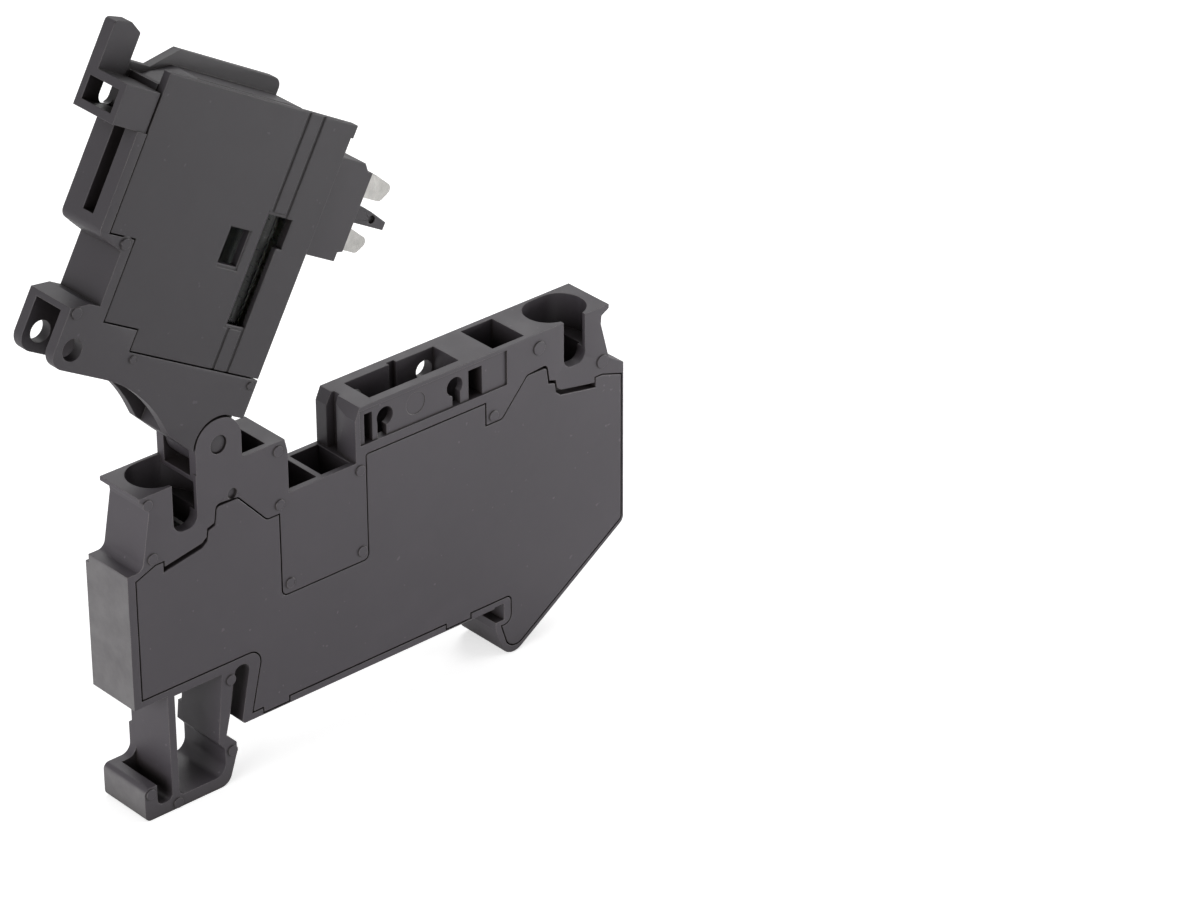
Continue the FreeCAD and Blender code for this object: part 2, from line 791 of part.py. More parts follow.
def housing_top(part):
    """Wire funnels, tool pockets, fuse socket and notch, cut from above."""
    entries = ["entry_left", "entry_right"]
    part.cut("funnels", "top", "throat_level", "top_level + rim",
             funnel("entry_left - funnel_shift", "funnel_long_left"),
             funnel("entry_right", "funnel_long_right"))
    part.cut("entry_slots", "side", FRONT, "entry_across", *[[
        (f"{across} - entry_slot/2", "entry_slot_floor", "0.4*entry_slot"),
        (f"{across} + entry_slot/2", "entry_slot_floor", "0.4*entry_slot"),
        (f"{across} + entry_slot/2", "top_level + rim"),
        (f"{across} - entry_slot/2", "top_level + rim"),
    ] for across in entries])
    throats = [box(f"{across} - throat_reach", f"{across} + throat_reach",
                   "core_middle - throat_reach", "core_middle + throat_reach") for across in entries]
    pockets = [
        ("tool_left_low", "tool_left_high"),
        ("tool_right_low", "tool_right_high"),
        ("notch_left + 0.4*rim", "(notch_left + notch_right - 0.7*rim)/2"),
        ("(notch_left + notch_right + 0.7*rim)/2", "notch_right - 0.4*rim"),
    ]
    walls = ("tool_thin_wall - body_thick/2", "body_thick/2 - back_step - tool_thin_wall")
    part.cut("openings", "top", "cavity_top - rim", "top_level + rim", *throats,
             *[box(low, high, *walls) for low, high in pockets],
             box("socket_left", "socket_right", COVER_IN, CAVITY_BACK))
    part.cut("wall_groove", "top", "window_low", "top_level",
             box("(socket_left + socket_right)/2", "(socket_left + socket_right)/2 + rim",
                 CAVITY_BACK + " - rim/2", CAVITY_BACK + " + rim/2"))
    part.cut("end_groove", "top", "notch_floor", "top_level", [
        ("notch_right - rim", "groove_from - 2*rim"),
        ("notch_right", "groove_from - 2*rim"),
        ("notch_right + 0.3*rim", "groove_from"),
        ("notch_right + groove_deep", "groove_from + 0.2*rim"),
        ("notch_right + groove_deep", "groove_to - 0.2*rim"),
        ("notch_right", "groove_to"),
        ("notch_right - rim", "groove_to"),
    ])


def housing_hinge(part):
    """Round-topped ears with their bore, and the space between them for the lever's hub."""
    crown = "ear_radius - seam_gap"
    part.pad("ears", "side", FRONT, PLATE_BACK, [
        ("hinge_across - ear_radius", "top_level - rim"),
        ("hinge_across + ear_radius", "top_level - rim"),
        ("hinge_across + ear_radius", "hinge_level + ear_radius", crown),
        ("hinge_across - ear_radius", "hinge_level + ear_radius", crown),
    ])
    part.cut("hub_space", "side", "ear_thick - body_thick/2", "body_thick/2 - back_step - ear_thick",
             box("hinge_across - ear_radius - hub_play", "tool_left_low + rim",
                 "hinge_level - hub_radius - 2*hub_play", "hinge_level + ear_radius + rim"))
    part.cut("hinge_bore", "side", FRONT, BACK,
             ("circle", "hinge_across", "hinge_level", "pin_radius + pin_play"))


def housing_windows(part):
    """Front windows of the fuse socket, and the probe holes through both walls."""
    part.cut("panel", "side", FRONT, "panel_depth - body_thick/2",
             box("notch_right + chamfer_run", "tool_right_high - 3*rim", "window_low", "top_level - rim/2"))
    part.cut("side_windows", "side", FRONT, CAVITY_BACK,
             box("socket_left - 1.5*rim", "socket_left - 0.4*rim", "window_low", "window_high"),
             box("socket_right + 0.6*rim", "socket_right + 2.5*rim", "window_low", "window_high"))
    part.cut("probes", "side", FRONT, BACK,
             *[("circle", f"probe_{side}", "probe_level", "probe_radius") for side in ("left", "right")])
    part.cut("keyways", "side", FRONT, COVER_IN,
             box("probe_left - 1.05*rim", "probe_left + 0.2*rim", "window_low", "probe_level"),
             box("probe_right - 0.35*rim", "probe_right + 0.75*rim", "window_low", "probe_level"))


def housing_relief(part):
    """Ejector marks on the front and the dial on the back pocket's floor."""
    marks = [("circle", x, z, "mark_radius") for x, z in housing_marks()]
    marks.append(("circle", "tool_right_high + 1.6*rim", "top_level - 1.8*rim", "0.8*rim"))
    marks.append(("circle", "shoulder_right - rim", "wall_top_right + 1.2*rim", "0.8*rim"))
    part.pad("marks", "side", "-body_thick/2 - mark_height", FRONT, *marks)
    part.cut("round_mark", "side", FRONT, "panel_depth + mark_height/2 - body_thick/2",
             ("circle", "(probe_left + probe_right)/2 - 0.6*rim", "probe_level", "1.3*rim"))
    part.cut("pin_mark", "side", FRONT, "2*mark_height - body_thick/2",
             ("circle", "hinge_across + 1.5*rim", "top_level - 3.8*rim", "mark_radius"))
    part.pad("dial", "side", "pocket_floor", "pocket_floor + 2*mark_height",
             ("circle", "dial_across", "dial_level", "dial_radius"))


def make_housing():
    """Main moulding with rail feet, wire entries, fuse socket and hinge ears."""
    part = Piece("housing")
    housing_shell(part)
    housing_feet(part)
    housing_top(part)
    housing_hinge(part)
    housing_windows(part)
    housing_relief(part)
    return part


def free_sketch(name, view, level, corners, closed=True):
    """A sketch of its own, set upright at a level along the view's axis."""
    sketch = doc.addObject("Sketcher::SketchObject", name)
    turn = {
        "side": FreeCAD.Rotation(FreeCAD.Vector(1, 0, 0), 90),
        "end": FreeCAD.Rotation(FreeCAD.Vector(1, 1, 1), 120),
    }[view]
    sketch.Placement = FreeCAD.Placement(FreeCAD.Vector(0, 0, 0), turn)
    bind(sketch, "Placement.Base.y" if view == "side" else "Placement.Base.x", level)
    Loop(sketch, corners, closed)
    sketch.Visibility = False
    return sketch


def extrude(name, base, view, length):
    """Solid of a flat face pushed along the view's axis."""
    item = doc.addObject("Part::Extrusion", name)
    item.Base = base
    item.DirMode = "Custom"
    item.Dir = FreeCAD.Vector(0, 1, 0) if view == "side" else FreeCAD.Vector(1, 0, 0)
    bind(item, "LengthFwd", length)
    item.Solid = True
    base.Visibility = False
    return item


def make_side_cover():
    """Flat cover, inset from the recess by the seam gap and lying on its ledge."""
    edge = free_sketch("side_cover_edge", "side", FRONT, seam_outline("0*rim"))
    inset = doc.addObject("Part::Offset2D", "side_cover_inset")
    inset.Source = edge
    bind(inset, "Value", "-seam_gap")
    inset.Join = "Intersection"
    cover = extrude("side_cover", inset, "side", "cover_thick")
    cover.Label = "side_cover"
    return cover


def make_strip(name, view, level, wide, path, thick):
    """Flat metal strip bent along a path, of even thickness and width."""
    line = free_sketch(f"{name}_path", view, level, path, closed=False)
    ribbon = doc.addObject("Part::Offset2D", f"{name}_ribbon")
    ribbon.Source = line
    bind(ribbon, "Value", thick)
    ribbon.Mode = "Skin"
    ribbon.Fill = True
    return extrude(name, ribbon, view, wide)


JAW_STARTS = {"left": "left_blade_from", "right": "right_blade_from + 0.3*jaw_long"}


def rivet_spot(side):
    """Middle of the rivet that joins a jaw to its bar, seen from above."""
    return f"{JAW_STARTS[side]} + jaw_long/2", "core_middle"


def rivet_hole(side):
    """Hole for the rivet, seen from above."""
    return ("circle", *rivet_spot(side), "rivet_radius + rivet_play")


def make_bars():
    """Flat current bars, one under each wire entry, ending below the fuse jaws."""
    parts = []
    for side, low, high in (("left", "bar_left", "bar_left_end"), ("right", "bar_right_start", "bar_right")):
        part = Piece(f"current_bar_{side}")
        part.pad("strip", "side", "core_middle - bar_wide/2", "core_middle + bar_wide/2",
                 box(low, high, "bar_level - bar_thick", "bar_level"))
        part.cut("wire_groove", "side", "core_middle - bar_wide/2", "core_middle + bar_wide/2",
                 ("circle", f"entry_{side}", "bar_level + bar_thick", "1.1*bar_thick"))
        part.cut("rivet_hole", "top", "bar_level - bar_thick", "bar_level", rivet_hole(side))
        parts.append(part)
    return parts


def make_jaws():
    """Forked jaws: a folded strip whose two leaves take a blade between them."""
    parts = []
    grip = "blade_plate/2 + blade_play + jaw_thick"
    wide = "jaw_wide/2 - jaw_thick"
    outer = [("-", wide, "jaw_top"), ("-", grip, "jaw_top - jaw_long/2"), ("-", wide, "bar_level"),
             ("+", wide, "bar_level"), ("+", grip, "jaw_top - jaw_long/2"), ("+", wide, "jaw_top")]
    section = [(f"core_middle {sign} ({reach})", level) for sign, reach, level in outer]
    for sign, reach, level in reversed(outer):
        rise = " + jaw_thick" if level == "bar_level" else ""
        section.append((f"core_middle {sign} ({reach} - jaw_thick)", level + rise))
    for side in ("left", "right"):
        low = JAW_STARTS[side]
        part = Piece(f"contact_jaw_{side}")
        part.pad("fork", "end", low, f"{low} + jaw_long", section)
        part.cut("rivet_hole", "top", "bar_level", "bar_level + jaw_thick", rivet_hole(side))
        parts.append(part)
    return parts


def make_rivets():
    """Headed rivets, flush below, that hold each jaw on its bar."""
    parts = []
    for side in ("left", "right"):
        part = Piece(f"jaw_rivet_{side}")
        low, high = "bar_level - bar_thick", "bar_level + jaw_thick"
        part.pad("shank", "top", low, high, ("circle", *rivet_spot(side), "rivet_radius"))
        part.pad("head", "top", high, f"{high} + rivet_head_high", ("circle", *rivet_spot(side), "rivet_head"))
        parts.append(part)
    return parts


def clamp_outline(side):
    """Cage clamp seen from the side: tail in the wire throat, bow, and hooked leg."""
    inward = "+" if side == "left" else "-"

    def at(reach):
        return f"entry_{side} {inward} ({reach})"

    return [
        (at("0.5*throat_reach"), "entry_slot_floor - 0.2*rim"),
        (at("0.5*throat_reach"), "cavity_top - 0.7*rim", "rim"),
        (at("clamp_reach"), "cavity_top - 0.7*rim", "1.5*rim"),
        (at("clamp_reach"), "cavity_floor + 3.5*rim", "1.5*rim"),
        (at("-0.5*throat_reach"), "cavity_floor + rim", "1.5*rim"),
        (at("-0.5*throat_reach"), "bar_level + rim"),
    ]


def make_clamps():
    """Cage clamps bent from spring strip, with a window for the current bar."""
    for side in ("left", "right"):
        name = f"cage_clamp_{side}"
        thick = "clamp_thick" if side == "right" else "-clamp_thick"
        blank = make_strip(f"{name}_blank", "side", "core_middle - clamp_wide/2", "clamp_wide",
                           clamp_outline(side), thick)
        slot = doc.addObject("Part::Box", f"{name}_window")
        bind(slot, "Length", "3*clamp_reach")
        bind(slot, "Width", "clamp_window")
        bind(slot, "Height", "bar_thick + 0.3*rim")
        bind(slot, "Placement.Base.x", f"entry_{side} - 1.5*clamp_reach")
        bind(slot, "Placement.Base.y", "core_middle - clamp_window/2")
        bind(slot, "Placement.Base.z", "bar_level - bar_thick - 0.15*rim")
        clamp = doc.addObject("Part::Cut", name)
        clamp.Base = blank
        clamp.Tool = slot
        clamp.Label = name


def carrier_outline():
    """Closed lever housing from the side, anticlockwise from the hub's right."""
    return [
        ("hinge_across + 1.08*ear_radius", "lever_bottom"),
        ("lever_waist", "lever_bottom"),
        ("lever_waist", "lever_step"),
        ("lever_right", "lever_step + 1.4*rim", "rim"),
        ("lever_right", "lever_shoulder"),
        ("lever_neck", "lever_shoulder + 3.6*rim"),
        ("lever_neck", "latch_base"),
        ("marker_right", "latch_base"),
        ("marker_right", "lever_top"),
        ("marker_left", "lever_top", "rim"),
        ("saddle_right", "saddle_floor"),
        ("saddle_left", "saddle_floor"),
        ("saddle_left", "lever_top - 2.1*rim"),
        ("saddle_left - 0.85*rim", "lever_top"),
        ("lever_left", "lever_top", "1.7*rim"),
        ("lever_left", "lever_hip", "hip_round"),
        ("lever_knee_across", "lever_knee_level"),
        ("lever_heel_across", "lever_heel_level"),
        ("hinge_across", "hinge_level"),
        ("hinge_across + 1.08*ear_radius", "hinge_level"),
    ]


def lid_outline(gap):
    """Edge of the lever's cover, drawn in from the recess by a gap."""
    return [
        (f"lid_left + {gap}", "lever_bottom"),
        ("lid_right - lid_foot", "lever_bottom"),
        ("lid_right - lid_foot", "lever_bottom - 0.33*rim"),
        ("lid_right", "lever_bottom - 0.33*rim"),
        ("lid_right", f"latch_base - {gap}"),
        (f"lid_shelf_end + {gap}", f"latch_base - {gap}"),
        (f"lid_shelf_end + {gap}", f"lid_shelf - {gap}"),
        (f"lid_step_across + {gap}", f"lid_shelf - {gap}"),
        (f"lid_step_across + {gap}", f"lid_step - {gap}"),
        (f"lid_left + {gap}", f"lid_step - {gap}"),
    ]


def carrier_shell(part):
    """Outer form, clearance round the housing's ears and recess for the cover."""
    part.pad("shell", "side", FRONT, PLATE_BACK, carrier_outline())
    part.cut("ear_clearance", "side", FRONT, BACK,
             ("circle", "hinge_across", "hinge_level", "lever_arc"))
    part.cut("lid_recess", "side", FRONT, COVER_IN, [
        ("lid_left", "lever_bottom - rim"),
        ("lever_right + rim", "lever_bottom - rim"),
        ("lever_right + rim", "latch_base"),
        ("lid_shelf_end", "latch_base"),
        ("lid_shelf_end", "lid_shelf"),
        ("lid_step_across", "lid_shelf"),
        ("lid_step_across", "lid_step"),
        ("lid_left", "lid_step"),
    ])


def carrier_hub(part):
    """Hub between the housing's ears, with the two moulded hinge studs."""
    low = "ear_thick - body_thick/2 + hub_play"
    high = "body_thick/2 - back_step - ear_thick - hub_play"
    part.pad("hub", "side", low, high, ("circle", "hinge_across", "hinge_level", "hub_radius"))
    part.pad("hub_neck", "side", low, high, [
        ("hinge_across", "hinge_level"),
        ("hinge_across + hub_radius", "lever_bottom + 0.3*rim"),
        ("hinge_across + 2*hub_radius", "lever_bottom + 0.3*rim"),
        ("hinge_across + 2*hub_radius", "hinge_level + 2*hub_radius"),
        ("hinge_across - 0.2*hub_radius", "hinge_level + 1.5*hub_radius"),
    ])
    stud = ("circle", "hinge_across", "hinge_level", "pin_radius")
    part.pad("front_stud", "side", f"{FRONT} + 1.5*mark_height", low, stud)
    part.pad("back_stud", "side", high, PLATE_BACK, stud)


def carrier_inside(part):
    """Chamber behind the cover and the round bed of the fuse."""
    part.cut("chamber", "side", COVER_IN, "body_thick/2 - back_step - cover_thick", [
        ("fuse_left - rim", "lever_bottom + rim"),
        ("lever_waist - rim", "lever_bottom + rim"),
        ("lever_waist - rim", "lever_step + 3*rim"),
        ("lever_waist - rim", "lid_shelf - 0.5*rim"),
        ("lid_left + 3*rim", "lid_shelf - 0.5*rim"),
        ("lid_left + 3*rim", "fuse_level + 3*rim"),
        ("fuse_left - rim", "fuse_level + 3*rim"),
    ])
    part.cut("fuse_bed", "end", "fuse_left - fuse_play", "fuse_end + fuse_play",
             ("circle", "-back_step/2", "fuse_level", "fuse_cap_radius + fuse_play"))


def carrier_grip(part):
    """Grip ears with their bore, marker groove, latch box and finger prong."""
    part.cut("grip_gap", "side", "grip_ear - body_thick/2", "body_thick/2 - back_step - grip_ear",
             box("lever_left - rim", "saddle_left - grip_web", "grip_floor", "lever_top + rim"))
    part.cut("grip_bore", "side", FRONT, BACK,
             ("circle", "ear_hole_across", "ear_hole_level", "ear_hole_radius"))
    part.cut("marker_groove", "top", "lever_top - 2.4*rim", "lever_top",
             box("marker_left + 1.6*rim", "marker_right - 0.2*rim", "-1.7*rim", "-0.05*rim"))
    part.pad("prong", "side", "body_thick/2 - back_step - prong_thick", PLATE_BACK, [
        ("latch_right - rim", "prong_low"),
        ("prong_tip - 0.8*rim", "prong_low", "rim/3"),
        ("prong_tip", "prong_low + 1.6*rim", "rim/2"),
        ("prong_tip - 0.3*rim", "latch_top", "rim/2"),
        ("latch_right - rim", "latch_top"),
    ])
    part.pad("ridge", "side", "body_thick/2 - back_step - ridge_thick", PLATE_BACK, [
        ("lever_neck - rim", "ridge_low"),
        ("ridge_right", "ridge_low", "rim"),
        ("ridge_right", "ridge_high"),
        ("lever_neck + ridge_root", "ridge_high + 3*rim"),
        ("lever_neck + ridge_root", "prong_low + rim"),
        ("lever_neck - rim", "prong_low + rim"),
    ])
    part.pad("latch_box", "top", "latch_base", "latch_top",
             box("marker_right", "latch_right", "0.2*rim - body_thick/2", PLATE_BACK))
    part.cut("latch_hollow", "top", "latch_base + rim/2", ABOVE,
             box("marker_right + latch_wall", "latch_right - latch_wall",
                 "0.2*rim - body_thick/2 + latch_wall", "body_thick/2 - back_step - latch_wall"))
    part.cut("latch_window", "side", "body_thick/2 - back_step - 2*latch_wall", PLATE_BACK, [
        ("marker_right + latch_wall", "latch_base + rim/2", "0.9*rim"),
        ("latch_right - latch_wall", "latch_base + rim/2"),
        ("latch_right - latch_wall", "latch_base + 2.5*rim"),
        ("marker_right + latch_wall", "latch_base + 2.5*rim", "0.9*rim"),
    ])


def blade_slot(side):
    """Room for one blade in the nose, seen from above."""
    return box(f"{side}_blade_from - blade_play", f"{side}_blade_to + blade_play",
               "core_middle - blade_plate/2 - blade_play", "core_middle + blade_plate/2 + blade_play")


def carrier_nose(part):
    """Nose that enters the fuse socket, with blade slots and a flat separator."""
    part.pad("nose", "side", "nose_front", "nose_back", [
        ("nose_left", "nose_step"),
        ("nose_left + rim", "nose_step"),
        ("nose_left + 1.2*rim", "nose_low"),
        ("nose_right - 0.8*rim", "nose_low"),
        ("nose_right - 0.8*rim", "nose_step"),
        ("nose_right", "nose_step + 0.8*rim"),
        ("nose_right", "lever_bottom + rim"),
        ("nose_left", "lever_bottom + rim"),
    ])
    part.cut("blade_slots", "top", "nose_low - rim", "lever_bottom + 1.5*rim",
             blade_slot("left"), blade_slot("right"))
    part.pad("separator", "side", "core_middle - fin_thick/2", "core_middle + fin_thick/2", [
        ("fin_left", "fin_low"),
        ("fin_left + 0.9*rim", "fin_low"),
        ("fin_right - 0.3*rim", "fin_low + 2.5*rim"),
        ("fin_right", "fin_low + 4*rim"),
        ("fin_right", "nose_low + rim"),
        ("fin_left", "nose_low + rim"),
    ])
    part.cut("dimple", "side", "core_middle - fin_thick/2", "core_middle - fin_thick/4",
             ("circle", "fin_left + 0.8*rim", "fin_low + 2.1*rim", "0.45*rim"))


def carrier_back(part):
    """Sunk field with a raised panel, and a small square hole, on the label side."""
    part.cut("back_field", "side", "body_thick/2 - back_step - 0.3*rim", PLATE_BACK,
             box("marker_left - 0.5*rim", "marker_right + rim", "lever_hip - rim", "lever_top + rim"))
    part.pad("back_panel", "side", "body_thick/2 - back_step - 0.35*rim", "body_thick/2 - back_step - mark_height", [
        ("marker_left + 0.3*rim", "lever_hip + 2*rim", "rim"),
        ("marker_right", "lever_hip + 2*rim"),
        ("marker_right", "lever_top - rim"),
        ("marker_left + 0.3*rim", "lever_top - rim", "rim"),
    ])
    part.cut("back_hole", "side", "body_thick/2 - back_step - 2*cover_thick", PLATE_BACK,
             box("marker_right + 1.8*rim", "marker_right + 2.8*rim",
                 "lever_shoulder - 0.4*rim", "lever_shoulder + 0.6*rim"))


def carrier_front(part):
    """Boss beside the saddle, ejector marks and the hollow behind the front plate's hip."""
    part.pad("boss", "side", FRONT, COVER_IN,
             ("circle", "lid_shelf_end - 0.6*rim", "lid_shelf + rim", "0.85*rim"))
    part.pad("marks", "side", "-body_thick/2 - mark_height", FRONT,
             ("circle", "lid_shelf_end - 0.6*rim", "lid_shelf + rim", "mark_radius"),
             ("circle", "saddle_left - 1.2*rim", "lever_top - 0.9*rim", "mark_radius"),
             ("circle", "lid_left - 0.65*rim", "lid_step - 0.8*rim", "0.7*mark_radius"),
             ("circle", "lid_left - 0.7*rim", "lever_bottom + 0.8*rim", "0.7*mark_radius"))
    part.cut("hip_hollow", "side", f"{COVER_IN} + mark_height", "body_thick/2 - back_step - cover_thick", [
        ("lever_knee_across - 2*rim", "lever_knee_level - 0.8*rim"),
        ("lever_knee_across + 2.2*rim", "lever_knee_level - 0.8*rim"),
        ("lever_left + rim", "lever_hip"),
        ("lever_left + rim", "lever_hip + 2*rim"),
        ("lever_left - 2*rim", "lever_hip + 2*rim"),
    ])


def make_carrier():
    """Swinging lever moulding that carries the fuse."""
    part = Piece("lever_carrier")
    carrier_shell(part)
    carrier_hub(part)
    carrier_inside(part)
    carrier_grip(part)
    carrier_nose(part)
    carrier_back(part)
    carrier_front(part)
    return part


def make_lid():
    """Snap-in cover of the lever, with its two windows and shallow grooves."""
    part = Piece("lever_cover")
    part.pad("plate", "side", FRONT, COVER_IN, lid_outline("seam_gap"))
    part.cut("fuse_relief", "end", "fuse_left", "fuse_end + fuse_play",
             ("circle", "-back_step/2", "fuse_level", "fuse_cap_radius + fuse_play"))
    part.cut("sight", "side", FRONT, COVER_IN,
             box("sight_left", "sight_right", "sight_low", "sight_low + sight_high"))
    part.cut("slit", "side", FRONT, COVER_IN, [
        ("slit_left", "slit_low"),
        ("slit_right - 3.2*rim", "slit_low"),
        ("slit_right - 3.2*rim", "slit_low - 0.8*rim"),
        ("slit_right", "slit_low - 0.8*rim"),
        ("slit_right", "slit_high"),
        ("slit_left", "slit_high"),
    ])
    part.cut("grooves", "side", FRONT, "mark_height - body_thick/2",
             box("lid_left", "slit_left - slit_edge", "slit_high - 0.45*rim", "slit_high - 0.05*rim"),
             box("slit_right + slit_edge", "lid_right", "slit_high - 0.45*rim", "slit_high - 0.05*rim"),
             box("lid_left", "slit_left - slit_edge", "slit_low", "slit_low + 0.4*rim"),
             box("slit_right + slit_edge", "lid_right", "slit_low", "slit_low + 0.4*rim"))
    part.cut("borders", "side", FRONT, "mark_height - body_thick/2",
             box("slit_left - slit_edge", "slit_right + slit_edge", "slit_low", "slit_high + slit_edge"),
             box("sight_left - slit_edge", "sight_right", "sight_low - slit_edge/2", "sight_low + sight_high"))
    return part


def make_blades():
    """Flat contact blades that reach through the nose into the jaws."""
    parts = []
    for side in ("left", "right"):
        part = Piece(f"contact_blade_{side}")
        part.pad("plate", "side", "core_middle - blade_plate/2", "core_middle + blade_plate/2", [
            (f"{side}_blade_from", f"{side}_blade_low + 1.5*blade_taper", "blade_round"),
            (f"{side}_blade_to - blade_taper", f"{side}_blade_low", "blade_round"),
            (f"{side}_blade_to", f"{side}_blade_low + 4*blade_taper"),
            (f"{side}_blade_to", "strip_level - strip_thick"),
            (f"{side}_blade_from", "strip_level - strip_thick"),
        ])
        parts.append(part)
    return parts


def make_clips():
    """Spring strips that press on the fuse's ends and stand on the blades."""
    inner_left = "fuse_left - clip_play"
    inner_right = "fuse_end + clip_play"
    low, high = "core_middle - strip_wide/2", "core_middle + strip_wide/2"
    left = Piece("fuse_clip_left")
    left.pad("strip", "side", low, high, [
        (f"{inner_left} - strip_thick", "strip_level - strip_thick"),
        ("left_blade_to", "strip_level - strip_thick"),
        ("left_blade_to", "strip_level"),
        (inner_left, "strip_level"),
        (inner_left, "strip_top"),
        (f"{inner_left} - strip_thick", "strip_top"),
    ])
    right = Piece("fuse_clip_right")
    right.pad("strip", "side", low, high, [
        ("right_blade_from", "strip_level - strip_thick"),
        (f"{inner_right} + strip_thick", "strip_level - strip_thick"),
        (f"{inner_right} + strip_thick", "strip_top"),
        (inner_right, "strip_top"),
        (inner_right, "strip_level"),
        ("right_blade_from", "strip_level"),
    ])
    return [left, right]


def ring(name, low, long, outer, inner):
    """Tube along X, cut from two cylinders on the fuse's axis."""
    rods = []
    for part, radius in (("outer", outer), ("inner", inner)):
        rod = doc.addObject("Part::Cylinder", f"{name}_{part}")
        bind(rod, "Radius", radius)
        bind(rod, "Height", long)
        rod.Placement = FreeCAD.Placement(FreeCAD.Vector(0, 0, 0),
                                          FreeCAD.Rotation(FreeCAD.Vector(0, 1, 0), 90))
        bind(rod, "Placement.Base.x", low)
        bind(rod, "Placement.Base.y", "-back_step/2")
        bind(rod, "Placement.Base.z", "fuse_level")
        rods.append(rod)
    return rods


def make_fuse():
    """Glass fuse link: tube, two end caps and the wire between them."""
    made = []
    outer, inner = ring("fuse_tube", "fuse_left + fuse_cap_wall", "fuse_length - 2*fuse_cap_wall",
                        "fuse_tube_radius", "fuse_tube_radius - fuse_tube_wall")
    made.append(subtract("fuse_tube", outer, inner))
    for side, low, cup in (
        ("left", "fuse_left", "fuse_left + fuse_cap_wall"),
        ("right", "fuse_end - fuse_cap_length", "fuse_end - fuse_cap_length"),
    ):
        name = f"fuse_cap_{side}"
        outer, inner = ring(name, low, "fuse_cap_length", "fuse_cap_radius", "fuse_tube_radius")
        bind(inner, "Height", "fuse_cap_length - fuse_cap_wall")
        bind(inner, "Placement.Base.x", cup)
        made.append(subtract(name, outer, inner))
    wire = ring("fuse_wire", "fuse_left + fuse_cap_wall", "fuse_length - 2*fuse_cap_wall",
                "fuse_wire_radius", "fuse_wire_radius")
    doc.removeObject(wire[1].Name)
    wire[0].Label = "fuse_wire"
    made.append(wire[0])
    return made


def subtract(name, base, tool):
    """Cut one solid out of another under a node's name."""
    item = doc.addObject("Part::Cut", name)
    item.Base = base
    item.Tool = tool
    item.Label = name
    return item


NODES = [
    "housing", "side_cover", "current_bar_left", "current_bar_right",
    "contact_jaw_left", "contact_jaw_right", "jaw_rivet_left", "jaw_rivet_right",
    "cage_clamp_left", "cage_clamp_right",
    "lever_carrier", "lever_cover", "contact_blade_left", "contact_blade_right",
    "fuse_clip_left", "fuse_clip_right", "fuse_tube", "fuse_cap_left", "fuse_cap_right", "fuse_wire",
]
LEVER_NODES = NODES[10:]


def node(name):
    """The object whose label is a node's name."""
    return doc.getObjectsByLabel(name)[0]


def open_lever():
    """Turn every piece of the lever about the hinge to its open position."""
    for name in LEVER_NODES:
        item = node(name)
        lying = item.TypeId == "Part::Cylinder"
        bind_open(holder(item) if lying else item)


def holder(item):
    """Compound round a lying cylinder, so that it can be turned as a whole."""
    label = item.Label
    item.Label = f"{label}_rod"
    group = doc.addObject("Part::Compound", label)
    group.Links = [item]
    group.Label = label
    return group


def bind_open(item):
    """Place one object by a turn about the hinge axis."""
    item.Placement = FreeCAD.Placement(FreeCAD.Vector(0, 0, 0),
                                       FreeCAD.Rotation(FreeCAD.Vector(0, -1, 0), number("open_angle")))
    bind(item, "Placement.Rotation.Angle", "open_angle")
    bind(item, "Placement.Base.x",
         "hinge_across - hinge_across*cos(open_angle) + hinge_level*sin(open_angle)")
    bind(item, "Placement.Base.z",
         "hinge_level - hinge_across*sin(open_angle) - hinge_level*cos(open_angle)")


def check_steps(part):
    """Each pad has to add volume and each pocket has to remove some."""
    before = 0.0
    for item, removes in part.steps:
        after = item.Shape.Volume
        if (after >= before) if removes else (after <= before):
            raise RuntimeError(f"{item.Name} changed nothing: {before:.3f} to {after:.3f}")
        before = after


def check_all(pieces):
    """Stop on any failed object, idle step or bad shape."""
    for item in doc.Objects:
        if "Invalid" in item.State or "Error" in item.State:
            raise RuntimeError(f"{item.Name} failed: {item.State}")
    for part in pieces:
        check_steps(part)
    for name in NODES:
        shape = node(name).Shape
        if shape.isNull() or not shape.isValid():
            raise RuntimeError(f"{name} has no valid shape")


def main():
    pieces = [make_housing(), make_carrier(), make_lid()]
    make_side_cover()
    make_clamps()
    for make in (make_bars, make_jaws, make_rivets, make_blades, make_clips):
        pieces += make()
    make_fuse()
    open_lever()
    doc.recompute()
    check_all(pieces)
    os.makedirs("parts", exist_ok=True)
    for name in NODES:
        shape = node(name).Shape
        print(f"{name}: {len(shape.Solids)} solid, {shape.Volume:.2f} cubic mm")
        shape.exportStep(f"parts/{name}.step")


main()
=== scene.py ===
import math

import bpy
from mathutils import Matrix, Vector


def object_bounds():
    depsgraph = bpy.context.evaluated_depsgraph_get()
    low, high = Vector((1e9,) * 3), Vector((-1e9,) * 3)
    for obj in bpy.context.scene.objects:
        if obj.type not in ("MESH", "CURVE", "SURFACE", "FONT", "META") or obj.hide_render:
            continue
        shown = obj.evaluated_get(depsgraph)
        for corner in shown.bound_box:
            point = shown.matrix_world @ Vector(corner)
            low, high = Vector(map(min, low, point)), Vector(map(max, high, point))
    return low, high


MM = 0.001
WHITE = (1.0, 1.0, 1.0, 1.0)

